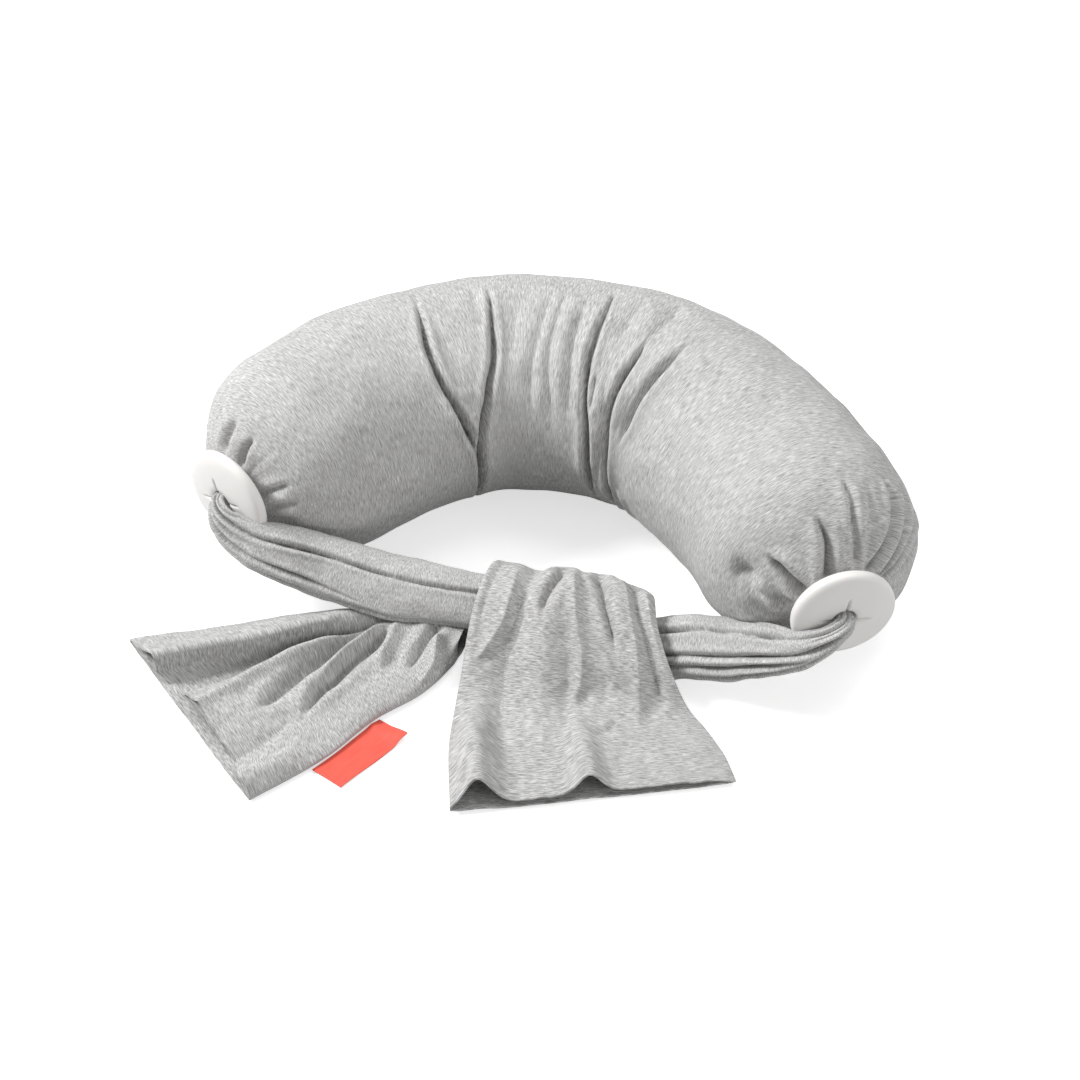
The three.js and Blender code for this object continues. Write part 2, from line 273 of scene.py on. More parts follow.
def label_material():
    """Coral woven tape: fine ribs both ways and a slight variation of shade."""
    material, tree, shader = new_material("coral_tape")
    bumps = []
    for direction, scales in (("X", (380, 0)), ("Y", (0, 320))):
        ribs = node(tree, "ShaderNodeTexWave", Scale=1.0, Distortion=0.6, Detail=1.0)
        ribs.bands_direction = direction
        tree.links.new(cloth_coordinates(tree, *scales), ribs.inputs["Vector"])
        bumps.append((ribs.outputs["Fac"], 0.3, 0.0003))
    shade = noise(tree, cloth_coordinates(tree, 60, 300), 1.0, 3.0)
    colour = ramp(tree, shade, 0.25, 0.75, (0.78, 0.085, 0.052), (0.90, 0.115, 0.075))
    set_surface(tree, shader, colour, {"Roughness": 0.62, "Sheen Weight": 0.15})
    add_bumps(tree, shader, *bumps)
    return material


def liner_material():
    """Plain unbleached cotton of the inner liner."""
    material, tree, shader = new_material("liner_cotton")
    place = node(tree, "ShaderNodeTexCoord").outputs["Object"]
    threads = noise(tree, place, 700.0, 2.0)
    colour = ramp(tree, threads, 0.3, 0.7, (0.70, 0.69, 0.66), (0.84, 0.83, 0.80))
    set_surface(tree, shader, colour, {"Roughness": 0.9})
    add_bumps(tree, shader, (threads, 0.3, 0.0004))
    return material


def bead_material():
    """White polystyrene beads, as round cells of about three millimetres."""
    material, tree, shader = new_material("polystyrene_beads")
    place = node(tree, "ShaderNodeTexCoord").outputs["Object"]
    cells = node(tree, "ShaderNodeTexVoronoi", Scale=330.0)
    tree.links.new(place, cells.inputs["Vector"])
    colour = ramp(tree, cells.outputs["Distance"], 0.0, 0.8, (0.93, 0.93, 0.92), (0.72, 0.72, 0.71))
    set_surface(tree, shader, colour, {"Roughness": 0.6})
    add_bumps(tree, shader, (cells.outputs["Distance"], -0.8, 0.002))
    return material


def floor_material():
    """Matt white backdrop that glows for the camera only, so it lights nothing."""
    material, tree, shader = new_material("studio_white")
    place = node(tree, "ShaderNodeTexCoord").outputs["Object"]
    shade = noise(tree, place, 2.0, 1.0)
    colour = ramp(tree, shade, 0.3, 0.7, (0.72, 0.72, 0.72), (0.74, 0.74, 0.74))
    set_surface(tree, shader, colour, {"Roughness": 0.8, "Specular IOR Level": 0.1})
    # The glow keeps the backdrop nearly white in the shadows too.
    glow = node(tree, "ShaderNodeEmission", Strength=FLOOR_GLOW)
    dark = node(tree, "ShaderNodeEmission", Strength=0.0)
    seen = node(tree, "ShaderNodeLightPath").outputs["Is Camera Ray"]
    choose = node(tree, "ShaderNodeMixShader")
    tree.links.new(seen, choose.inputs[0])
    tree.links.new(dark.outputs[0], choose.inputs[1])
    tree.links.new(glow.outputs[0], choose.inputs[2])
    both = node(tree, "ShaderNodeAddShader")
    tree.links.new(shader.outputs[0], both.inputs[0])
    tree.links.new(choose.outputs[0], both.inputs[1])
    tree.links.new(both.outputs[0], tree.nodes["Material Output"].inputs["Surface"])
    return material


# ---- Mesh helpers ----


def make_piece(name, points, faces, material, cloth=None):
    """A smooth mesh piece from points in millimetres, with its place on the cloth as UVs."""
    mesh = bpy.data.meshes.new(name)
    mesh.from_pydata((points * METRE).tolist(), [], faces)
    mesh.update()
    mesh.shade_smooth()
    if cloth is not None:
        layer = mesh.uv_layers.new(name="cloth")
        index = np.empty(len(mesh.loops), np.int32)
        mesh.loops.foreach_get("vertex_index", index)
        layer.data.foreach_set("uv", (cloth[index] * METRE).astype(np.float32).ravel())
    mesh.materials.append(material)
    piece = bpy.data.objects.new(name, mesh)
    bpy.context.scene.collection.objects.link(piece)
    return piece


def grid_faces(rows, columns, closed, flip=False):
    """Quads of a grid whose columns may close on themselves."""
    faces = []
    last = columns if closed else columns - 1
    for i in range(rows - 1):
        for k in range(last):
            a = i * columns + k
            b = i * columns + (k + 1) % columns
            quad = (a, b, b + columns, a + columns)
            faces.append(quad[::-1] if flip else quad)
    return faces


def ring_normals(points):
    """Unit normals of a grid of points whose columns close, facing along columns cross rows."""
    down = np.gradient(points, axis=0)
    round_it = np.roll(points, -1, 1) - np.roll(points, 1, 1)
    normal = np.cross(round_it, down)
    return normal / np.maximum(np.linalg.norm(normal, axis=-1, keepdims=True), 1e-9)


def unit(vectors):
    """The vectors along the last axis, each made one long."""
    return vectors / np.linalg.norm(vectors, axis=-1, keepdims=True)


def smooth_step(value, low, high):
    """0 below low, 1 above high, and a smooth rise between them."""
    t = np.clip((value - low) / (high - low), 0, 1)
    return t * t * (3 - 2 * t)


def catmull(stops, places):
    """A smooth curve through stops (rows of numbers), read at places from 0 to 1."""
    stops = np.asarray(stops, float)
    count = len(stops)
    where = np.clip(np.asarray(places, float), 0, 1) * (count - 1)
    low = np.minimum(where.astype(int), count - 2)
    t = (where - low)[:, None]
    padded = np.vstack([2 * stops[0] - stops[1], stops, 2 * stops[-1] - stops[-2]])
    p0, p1, p2, p3 = (padded[low + k] for k in range(4))
    return 0.5 * (
        2 * p1
        + (p2 - p0) * t
        + (2 * p0 - 5 * p1 + 4 * p2 - p3) * t**2
        + (3 * p1 - p0 - 3 * p2 + p3) * t**3
    )


RIPPLE_WAVES = 9


def ripple(points, wavelength, seed):
    """Smooth random field between about -1 and 1, from waves in random directions."""
    rng = np.random.default_rng(seed)
    total = np.zeros(points.shape[:-1])
    for _ in range(RIPPLE_WAVES):
        direction = rng.normal(size=3)
        direction *= 2 * math.pi / (wavelength * rng.uniform(0.7, 1.5) * np.linalg.norm(direction))
        total += np.sin(points @ direction + rng.uniform(0, 2 * math.pi))
    return total / math.sqrt(RIPPLE_WAVES)


SHARP_ANGLE = math.radians(85)


def solidify(piece, thickness):
    """Give a sheet its thickness, on the side away from its normals, and apply it."""
    bpy.context.view_layer.objects.active = piece
    modifier = piece.modifiers.new("thickness", "SOLIDIFY")
    modifier.thickness = thickness * METRE
    modifier.offset = -1.0
    bpy.ops.object.modifier_apply(modifier=modifier.name)
    piece.data.set_sharp_from_angle(angle=SHARP_ANGLE)


# ---- Folds ----

FOLD_POINTS = 28  # points of a fold's line
FOLD_FADE = 0.28  # share of a fold's length over which an end fades


def fold(path, depth, width, shoulder, open_at=""):
    """A crease pressed into cloth along a path, or a ridge, where depth is negative.

    Depth and width are in millimetres. shoulder is the height of the rounded edges beside it, as
    a share of depth. Its ends fade out, apart from those named in open_at: start, end or both.
    """
    return {
        "path": path,
        "depth": depth,
        "width": width,
        "shoulder": shoulder,
        "open_start": open_at in ("start", "both"),
        "open_end": open_at in ("end", "both"),
    }


def nearest_on_line(points, line):
    """Distance from each point to a polyline, and how far along it the nearest place is."""
    best = np.full(len(points), 1e9)
    along = np.zeros(len(points))
    count = len(line) - 1
    for i in range(count):
        edge = line[i + 1] - line[i]
        t = np.clip((points - line[i]) @ edge / max(edge @ edge, 1e-9), 0, 1)
        distance = np.linalg.norm(points - line[i] - t[:, None] * edge, axis=1)
        closer = distance < best
        best[closer] = distance[closer]
        along[closer] = (i + t[closer]) / count
    return best, along


def fold_offsets(points, surface_at, folds):
    """How far each point moves out along its normal when the folds are pressed in."""
    flat = points.reshape(-1, 3)
    total = np.zeros(len(flat))
    for each in folds:
        line = surface_at(catmull(each["path"], np.linspace(0, 1, FOLD_POINTS)))
        reach = 7 * each["width"] + 4
        near = np.all((flat > line.min(0) - reach) & (flat < line.max(0) + reach), axis=1)
        if not near.any():
            continue
        distance, along = nearest_on_line(flat[near], line)
        taper = np.ones(len(distance))
        if not each["open_start"]:
            taper *= smooth_step(along, 0, FOLD_FADE)
        if not each["open_end"]:
            taper *= smooth_step(1 - along, 0, FOLD_FADE)
        width = each["width"] * (0.55 + 0.45 * taper)
        valley = np.exp(-((distance / width) ** 1.4))
        sides = np.exp(-(((distance - 2.8 * width) / (1.8 * width)) ** 2))
        total[near] += each["depth"] * taper * (each["shoulder"] * sides - valley)
    return total.reshape(points.shape[:-1])


# ---- The filled tube ----

# Folds of the cover as (millimetres along the tube from the middle, degrees round it): 0 is
# the outer side, 90 the top and 180 the side that faces the opening.
LEFT_FOLDS = [
    fold([(-143, 60), (-158, 93), (-166, 113), (-166, 131), (-155, 156), (-147, 172), (-143, 190)],
         14.0, 2.3, 0.16),
    fold([(-90, 72), (-92, 94), (-100, 124), (-119, 141), (-140, 164), (-139, 203), (-133, 240)],
         14.0, 2.3, 0.16),
    fold([(-159, 134), (-155, 147), (-148, 162)], 5.0, 2.8, 0.4),
    fold([(-104, 74), (-104, 97), (-101, 112)], 3.2, 5.0, 0.3),
    fold([(-150, 84), (-146, 110), (-143, 132)], 2.0, 9.0, 0.2),
    fold([(-36, 76), (-41, 104), (-47, 124), (-49, 139), (-45, 158)], 3.6, 4.2, 0.4),
    fold([(-24, 76), (-28, 104), (-31, 122), (-28, 138), (-15, 170)], 3.6, 3.6, 0.45),
    fold([(-66, 88), (-70, 112), (-76, 132)], 2.2, 8.0, 0.25),
    fold([(-350, 64), (-345, 72), (-338, 80)], 4.5, 3.0, 0.5, "start"),
    fold([(-352, 99), (-347, 98), (-341, 101)], 4.4, 2.6, 0.5, "start"),
    fold([(-352, 156), (-347, 152), (-340, 149)], 3.8, 2.6, 0.3, "start"),
    fold([(-351, 178), (-347, 172), (-338, 166)], 3.4, 2.4, 0.7, "start"),
    fold([(-350, 196), (-346, 190), (-337, 184)], 1.8, 3.4, 0.6, "start"),
    fold([(-348, 30), (-344, 32), (-335, 36)], 1.3, 3.6, 0.5, "start"),
    fold([(-349, 350), (-343, 344), (-330, 338)], 1.3, 4.0, 0.5, "start"),
    fold([(-262, 36), (-234, 68), (-205, 100)], -3.5, 62, 0.0),
]
RIGHT_FOLDS = [
    fold([(12, 64), (14, 88), (13, 112), (13, 126), (20, 147),
          (28, 160), (33, 180), (36, 206), (40, 232)],
         13.5, 2.2, 0.16),
    fold([(24, 128), (27, 140), (29, 152)], 4.5, 2.2, 0.5),
    fold([(66, 96), (62, 114), (55, 129), (52, 148), (57, 163), (65, 182), (72, 207), (76, 228)],
         13.5, 2.2, 0.16),
    fold([(66, 66), (68, 86), (65, 104)], 5.0, 8.0, 0.3),
    fold([(104, 92), (99, 113), (93, 133), (91, 149), (93, 162)], 9.0, 2.8, 0.2),
    fold([(36, 128), (45, 146), (51, 164), (48, 184), (44, 198)], 5.0, 5.0, 0.35),
    fold([(40, 74), (38, 96), (36, 114)], 3.2, 6.0, 0.3),
    fold([(84, 124), (79, 142), (78, 160)], 2.4, 4.2, 0.4),
    fold([(-4, 76), (-7, 109), (-5, 134), (4, 160)], 3.0, 3.8, 0.45),
    fold([(80, 186), (86, 202), (92, 218)], 3.4, 2.8, 0.6),
    fold([(90, 186), (98, 204), (104, 222)], 3.0, 2.8, 0.6),
    fold([(312, 163), (325, 160), (337, 157)], 10.0, 10.0, 0.1),
    fold([(322, 146), (336, 160), (344, 176), (349, 196)], -5.0, 3.8, 0.4),
    fold([(328, 141), (341, 141), (349, 144), (352, 147)], 9.0, 3.2, 0.6, "end"),
    fold([(322, 102), (338, 98), (346, 101), (352, 108)], 8.5, 3.2, 0.6, "end"),
    fold([(296, 80), (316, 78), (334, 77), (349, 72)], 4.5, 2.2, 0.6, "end"),
    fold([(300, 66), (318, 65), (336, 62), (349, 60)], 2.4, 3.0, 0.5, "end"),
    fold([(292, 54), (318, 47), (338, 46), (350, 51)], 7.5, 2.4, 0.5, "end"),
    fold([(288, 38), (316, 35), (336, 32), (350, 30)], 8.0, 2.4, 0.4, "end"),
    fold([(294, 19), (316, 22), (336, 23), (349, 21)], 7.0, 2.4, 0.25, "end"),
    fold([(306, 8), (324, 10), (340, 8)], 3.0, 4.0, 0.3, "end"),
    fold([(350, 170), (344, 168), (334, 166)], 2.4, 3.0, 0.6, "start"),
    fold([(350, 212), (340, 208), (318, 204)], 2.7, 3.6, 0.5, "start"),
    fold([(348, 262), (332, 258), (306, 254)], 2.4, 4.5, 0.5, "start"),
    fold([(348, 320), (332, 326), (300, 330)], 2.7, 4.5, 0.5, "start"),
]

CREASED_LENGTH = 176.0  # of each half, with finer rows for the deep folds
FOLDED_RADIUS = 14.0  # thinner parts of the tube have no folds
COVER_LOWEST = 0.25  # along the tube, the arm's end of the span across the crease
CREASE_FROM = 150.0  # and the back's end of it
CREASE_TO = 40.0  # and where it follows the back only

# Row spacing in the creased and the plain part, and number of columns, of each layer's mesh.
COVER_MESH = {"fine": 1.5, "coarse": 4.2, "columns": 256}
INNER_MESH = {"fine": 2.4, "coarse": 6.0, "columns": 180}
CAP_SAMPLES = 4000
NECK_ROWS = 8
COVER_THICKNESS = 1.2
LINER_THICKNESS = 0.8
LINER_INSET = 2.6
BEAD_INSET = 5.0


def spine(s):
    """Place and heading on the tube's centre line, s millimetres from the middle of the back."""
    left = np.abs(s)
    heading = np.zeros_like(left)
    x = np.zeros_like(left)
    y = np.zeros_like(left)
    for i, (length, turn) in enumerate(HALF_ARCS):
        step = left if i == len(HALF_ARCS) - 1 else np.minimum(left, length)
        angle = turn * step / length
        radius = length / turn
        x += radius * (np.sin(heading + angle) - np.sin(heading))
        y += radius * (np.cos(heading + angle) - np.cos(heading))
        heading = heading + angle
        left = left - step
    side = np.where(s < 0, -1.0, 1.0)
    return side * x, y, -side * heading


def above_floor(z, floor, soft):
    """z, eased onto the height floor where it would go through. A larger soft eases earlier."""
    return 0.5 * (z + floor + np.sqrt((z - floor) ** 2 + soft**2))


SINK = 0.45  # the tube and the ties are heavy, and lie this much lower than eased


def tube_point(s, radius, angle):
    """Points of the bare tube, from place along it, radius and angle round it."""
    x, y, heading = spine(s)
    across = radius * np.cos(angle)
    z = above_floor(AXIS_HEIGHT + radius * TUBE_FLATTEN * np.sin(angle), floor=0.3, soft=5.0) - SINK
    return np.stack([x - across * np.sin(heading), y + across * np.cos(heading), z], -1)


def cap_radius(t):
    """Radius of the tube's rounded end, t from 0 where it starts to 1 at its tip."""
    return TUBE_RADIUS * (1 - t**CAP_POWER) ** (1 / CAP_ROOT)


def tube_radius(s):
    t = np.clip(1 - (HALF_LENGTH - np.abs(s)) / CAP_LENGTH, 0, 1)
    return np.maximum(cap_radius(t), NECK_RADIUS)


def on_tube(path):
    """Points of the bare tube for rows of (along, degrees)."""
    s = path[:, 0]
    return tube_point(s, tube_radius(s), np.radians(path[:, 1]))


def tube_rows(fine, coarse):
    """Stations along half of the tube: place, radius and length of cloth used so far."""
    cap_start = HALF_LENGTH - CAP_LENGTH
    creased = np.arange(0, CREASED_LENGTH, fine)
    plain = np.arange(CREASED_LENGTH, cap_start, coarse)
    t = np.linspace(0, 1, CAP_SAMPLES)
    cap_s = cap_start + CAP_LENGTH * t
    cap_r = cap_radius(t)
    kept = cap_r > NECK_RADIUS + 0.5
    cap_s, cap_r = cap_s[kept], cap_r[kept]
    run = np.concatenate([[0], np.cumsum(np.hypot(np.diff(cap_s), np.diff(cap_r)))])
    # Even steps along the cap's curve, a little closer than on the plain part.
    even = np.linspace(0, run[-1], int(run[-1] / (0.8 * coarse)))
    s = np.concatenate([creased, plain, np.interp(even, run, cap_s)])
    straight = np.full(len(creased) + len(plain), TUBE_RADIUS)
    r = np.concatenate([straight, np.interp(even, run, cap_r)])
    neck = np.linspace(0, NECK_LENGTH, NECK_ROWS + 1)[1:]
    s = np.concatenate([s, s[-1] + neck])
    r = np.concatenate([r, np.full(len(neck), NECK_RADIUS)])
    used = np.concatenate([[0], np.cumsum(np.hypot(np.diff(s), np.diff(r)))])
    return s, r, used


def cap_gathers(angle, radius):
    """Small irregular pleats that run into the neck."""
    near = smooth_step(-radius, -88, -46) * smooth_step(radius, 9, 26)
    waves = np.abs(np.sin(9.5 * angle + 0.8 * np.sin(2 * angle + 1))) - 0.6
    finer = np.abs(np.sin(15 * angle + 1.1 * np.sin(3 * angle))) - 0.6
    strength = 0.55 + 0.45 * np.sin(3 * angle + 0.6)
    neck = 1.3 * smooth_step(-radius, -30, -12) * np.sin(14 * angle)
    return near * (0.6 * waves * strength + 0.4 * finer) + neck


def tube_half(side, inset, fine, coarse, columns):
    """Grid of points of one half of the pillow, its folds pressed in, and its cloth places."""
    s, radius, used = tube_rows(fine, coarse)
    # Two rows past the middle keep the halves' normals equal there. They are dropped below.
    s = np.concatenate([[-2 * fine, -fine], s])
    radius = np.concatenate([radius[:2], radius])
    used = np.concatenate([[-2 * fine, -fine], used])
    angle = 2 * math.pi * np.arange(columns) / columns
    s_grid, angle_grid = np.meshgrid(side * s, angle, indexing="ij")
    r_grid = np.broadcast_to(radius[:, None], s_grid.shape)
    points = tube_point(s_grid, r_grid, angle_grid)
    normals = side * ring_normals(points)
    offset = fold_offsets(points, on_tube, LEFT_FOLDS + RIGHT_FOLDS)
    offset = np.where(r_grid < FOLDED_RADIUS, 0, offset)
    filled = smooth_step(r_grid, 20, 60)
    offset += filled * (1.3 * ripple(points, 120, 3) + 0.45 * ripple(points, 38, 5))
    offset += cap_gathers(angle_grid, r_grid)
    points = points + normals * (offset - inset)[..., None]
    points[..., 2] = np.maximum(points[..., 2], COVER_LOWEST + inset)
    along = side * np.broadcast_to(used[:, None], s_grid.shape)
    cloth = np.stack([angle_grid * TUBE_RADIUS, along], -1)
    return points[2:], cloth[2:]


def tube_piece(name, side, material, inset, mesh):
    """Half of the tube as a piece, inset from the cover's face."""
    points, cloth = tube_half(side, inset, **mesh)
    rows, columns = points.shape[:2]
    faces = grid_faces(rows, columns, True, flip=side < 0)
    piece = make_piece(name, points.reshape(-1, 3), faces, material)
    layer = piece.data.uv_layers.new(name="cloth")
    index = np.empty(len(piece.data.loops), np.int32)
    piece.data.loops.foreach_get("vertex_index", index)
    places = cloth.reshape(-1, 2)[index].reshape(-1, 4, 2)
    # In the faces that close the ring, the place round the tube goes on past a full turn.
    wrap = places[:, :, 0].max(1) - places[:, :, 0].min(1) > math.pi * TUBE_RADIUS
    turned = wrap[:, None] & (places[:, :, 0] < math.pi * TUBE_RADIUS)
    places[:, :, 0] += np.where(turned, 2 * math.pi * TUBE_RADIUS, 0)
    layer.data.foreach_set("uv", (places * METRE).astype(np.float32).ravel())
    return piece


def across_crease(piece, side):
    """Bake the transform of a piece of the tube into its mesh."""
    start_x, start_y, _ = spine(np.array(side * CREASE_FROM))
    end_x, end_y, _ = spine(np.array(side * CREASE_TO))
    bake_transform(piece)


def middle_node(layer, side):
    """The layer's node in the middle of the back, for which only the left half stands."""
    return [layer + "_centre"] if side < 0 else []


def add_tube(jersey, liner, beads):
    """Both halves of the tube, each a cover, its liner and the bead fill."""
    for name, side in SIDES.items():
        cover = tube_piece("cover_" + name, side, jersey, 0.0, COVER_MESH)
        solidify(cover, COVER_THICKNESS)
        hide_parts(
            f"cover_{name}_arm",
            "cover_crease_" + name,
            "cover_neck_" + name,
            *middle_node("cover", side),
        )
        across_crease(cover, side)
        lining = tube_piece("liner_" + name, side, liner, LINER_INSET, INNER_MESH)
        solidify(lining, LINER_THICKNESS)
        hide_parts(f"liner_{name}_arm", "liner_end_" + name, *middle_node("liner", side))
        across_crease(lining, side)
        fill = tube_piece("bead_fill_" + name, side, beads, BEAD_INSET, INNER_MESH)
        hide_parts(f"bead_fill_{name}_arm", *middle_node("bead_fill", side))
        across_crease(fill, side)


# ---- Discs ----

HOLE_RADIUS = 9.6
HOLE_EDGE = [(0.0, 5.0), (0.1, 7.0), (0.8, 8.6), (2.2, 9.5)]  # out from the hole, and height
DISC_HALF_THICKNESS = 9.7
DISC_ROWS = 26  # from the hole's edge to the rim
DISC_COLUMNS = 176
ROW_CROWDING = 0.8
RIM_POWER = 0.62
SLITS = 4
SLIT_END = 25.0
SLIT_FADE = 7.0
SLIT_DEPTH = 3.2
SLIT_WIDTH = 0.9
SLIT_SHARE = 0.8  # of the disc's half thickness, at most
SLIT_TURN = {"left": math.radians(18), "right": math.radians(-8)}
EGG = {"left": 0.0, "right": 0.03}  # share by which each disc is drawn out of round
EGG_TURN = 0.5  # radians, the way it is drawn


def neck_frame(side):
    """End of the arm, the way out along its neck, and the level and upright ways across it."""
    x, y, heading = spine(np.array(side * HALF_LENGTH))
    out = side * np.array([math.cos(heading), math.sin(heading), 0.0])
    level = np.array([-out[1], out[0], 0.0])
    return np.array([float(x), float(y), AXIS_HEIGHT]), out, level, np.array([0.0, 0.0, 1.0])


def pebble_profile():
    """Radius and height of the disc's section, from inside the hole, over the front and back."""
    front = [(HOLE_RADIUS + out, height) for out, height in HOLE_EDGE]
    inner = front[-1][0]
    for k in range(1, DISC_ROWS + 1):
        turn = math.pi / 2 * (k / DISC_ROWS) ** ROW_CROWDING
        radius = inner + (DISC_RADIUS - inner) * math.sin(turn)
        height = DISC_HALF_THICKNESS * max(math.cos(turn), 0.0) ** RIM_POWER
        front.append((radius, height))
    back = [(radius, -height) for radius, height in reversed(front[:-1])]
    return front + back


def cut_slits(radius, turn, height, first):
    """The disc's heights with a star of slits pressed in, the first at the angle first."""
    height = height.copy()
    for k in range(SLITS):
        way = first + 2 * math.pi * k / SLITS
        beside = radius * np.sin(turn - way)
        ahead = radius * np.cos(turn - way)
        reach = smooth_step(-ahead, -SLIT_END, -SLIT_END + SLIT_FADE) * (ahead > 0)
        cut = SLIT_DEPTH * reach * np.exp(-((beside / SLIT_WIDTH) ** 2))
        height -= np.sign(height) * np.minimum(cut, np.abs(height) * SLIT_SHARE)
    return height


def add_disc(name, side, silicone):
    centre, out, level, up = neck_frame(side)
    centre = centre + DISC_ALONG * out
    profile = np.array(pebble_profile())
    angle = 2 * math.pi * np.arange(DISC_COLUMNS) / DISC_COLUMNS
    radius, turn = np.meshgrid(profile[:, 0], angle, indexing="ij")
    height = np.broadcast_to(profile[:, 1:], radius.shape)
    height = cut_slits(radius, turn, height, SLIT_TURN[name])
    egg = EGG[name] * np.cos(turn - EGG_TURN) * smooth_step(radius, 12, DISC_RADIUS)
    radius = radius * (1 + egg)
    across = np.cos(turn)[..., None] * level + np.sin(turn)[..., None] * up
    points = centre + radius[..., None] * across
    points = points + height[..., None] * out
    rows = len(profile)
    faces = grid_faces(rows, DISC_COLUMNS, True)
    disc = make_piece("disc_face_" + name, points.reshape(-1, 3), faces, silicone)
    join_ends(disc, rows, DISC_COLUMNS)
    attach(disc, "disc_" + name)
    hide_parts("disc_" + name)


def join_ends(piece, rows, columns):
    """Close a ring-shaped mesh between its last and first rows, and face it outwards."""
    mesh = piece.data
    edit = bmesh.new()
    edit.from_mesh(mesh)
    edit.verts.ensure_lookup_table()
    last = (rows - 1) * columns
    for k in range(columns):
        n = (k + 1) % columns
        quad = (edit.verts[last + k], edit.verts[last + n], edit.verts[n], edit.verts[k])
        edit.faces.new(quad)
    bmesh.ops.recalc_face_normals(edit, faces=edit.faces)
    edit.to_mesh(mesh)
    edit.free()
    mesh.shade_smooth()


# ---- Ties ----

# Stops: centre, half width across and half height. Each tie starts inside its disc.
LEFT_TIE = [
    (-269.6, -219.4, 94, 9.3, 9.3),
    (-274.7, -228.7, 93.5, 9.0, 9.0),
    (-271, -239, 90, 13, 8.5),
    (-260, -247, 84, 17.5, 9),
    (-238, -252, 75, 21, 10),
    (-212, -248, 66, 24, 11.5),
    (-187, -243, 58, 27, 13),
    (-158, -240, 50, 28, 14),
    (-118, -239, 42, 28, 14),
    (-73, -235, 38, 26, 12),
    (-30, -229, 36, 22, 10),
    (5, -225, 36, 19, 9.5),
    (40, -225, 36, 18, 9.5),
]
RIGHT_TIE = [
    (269.6, -218.9, 94, 8.6, 8.6),
    (274.7, -228.7, 93, 9.0, 9.0),
    (271, -238.5, 91, 9.5, 8.5),
    (259, -246, 84, 12, 9),
    (238, -251, 73, 17, 11),
    (211, -246, 59, 23, 13),
    (186, -239, 46, 27, 14),
    (152, -235, 35, 28, 15),
    (118, -234, 25, 27, 14),
    (75, -235, 17, 24, 12),
    (30, -239, 13, 21, 9.5),
    (-10, -246, 12.5, 20, 9),
    (-40, -253, 13, 17, 9),
]
TIE_LEANS = [66, 62, 53, 42, 36, 32, 24]  # degrees, from the disc to the knot
TIE_ROWS = 150
TIE_COLUMNS = 168
TIE_THICKNESS = 1.0
TIE_LOWEST = 0.3
TIE_CLOTH_RADIUS = 60.0  # the gathered knit is laid round it as on a tube of this radius

# Long folds of the ties as (share of the length, degrees round the section).
LEFT_TIE_FOLDS = [
    fold([(0.04, 128), (0.2, 122), (0.4, 112), (0.6, 105), (0.9, 100)], 8.0, 1.5, 0.2, "both"),
    fold([(0.04, 85), (0.2, 72), (0.35, 62), (0.5, 52), (0.66, 36)], 7.0, 1.4, 0.2, "start"),
    fold([(0.06, 103), (0.2, 96), (0.34, 88)], 4.0, 1.5, 0.2, "start"),
    fold([(0.04, 34), (0.25, 28), (0.5, 20), (0.9, 15)], 4.5, 1.8, 0.2, "start"),
    fold([(0.03, 158), (0.15, 156), (0.32, 152)], 3.5, 1.6, 0.2, "start"),
    fold([(0.03, 208), (0.4, 205), (0.95, 205)], 4.0, 2.0, 0.2, "start"),
    fold([(0.03, 262), (0.4, 255), (0.95, 255)], 4.0, 2.0, 0.2, "start"),
    fold([(0.03, 312), (0.4, 312), (0.95, 310)], 4.0, 2.0, 0.2, "start"),
]
RIGHT_TIE_FOLDS = [
    fold([(0.04, 142), (0.15, 138), (0.3, 128), (0.6, 118), (0.92, 112)], 9.8, 1.7, 0.2, "both"),
    fold([(0.04, 120), (0.16, 116), (0.32, 106)], 6.5, 1.4, 0.2, "start"),
    fold([(0.04, 92), (0.14, 84), (0.3, 78), (0.6, 72), (0.92, 68)], 9.8, 1.6, 0.2, "both"),
    fold([(0.26, 54), (0.5, 50), (0.92, 44)], 7.8, 1.6, 0.2, "end"),
    fold([(0.04, 62), (0.15, 50), (0.34, 28), (0.7, 18)], 5.9, 1.5, 0.2, "start"),
    fold([(0.03, 178), (0.3, 172), (0.9, 170)], 5.2, 1.6, 0.2, "start"),
    fold([(0.03, 215), (0.4, 215), (0.95, 215)], 5.2, 1.8, 0.2, "start"),
    fold([(0.03, 265), (0.4, 265), (0.95, 265)], 5.2, 1.8, 0.2, "start"),
    fold([(0.03, 320), (0.4, 320), (0.95, 320)], 5.2, 1.8, 0.2, "start"),
]


def tie_surface(stops, side):
    """A function from rows of (share of the length, degrees) to points of the bare tie."""

    def surface_at(path):
        share = path[:, 0]
        row = catmull(stops, share)
        step = 1e-3
        tangent = unit(catmull(stops, share + step)[:, :3] - catmull(stops, share - step)[:, :3])
        across = unit(-side * np.cross(tangent, (0, 0, 1)))
        up = -side * np.cross(across, tangent)
        lean = np.radians(catmull(np.array(TIE_LEANS)[:, None], share))
        wide = across * np.cos(lean) - up * np.sin(lean)
        high = up * np.cos(lean) + across * np.sin(lean)
        angle = np.radians(path[:, 1:2])
        point = row[:, :3] + wide * row[:, 3:4] * np.cos(angle) + high * row[:, 4:5] * np.sin(angle)
        point[:, 2] = above_floor(point[:, 2], floor=0.6, soft=3.0) - SINK
        return point

    return surface_at


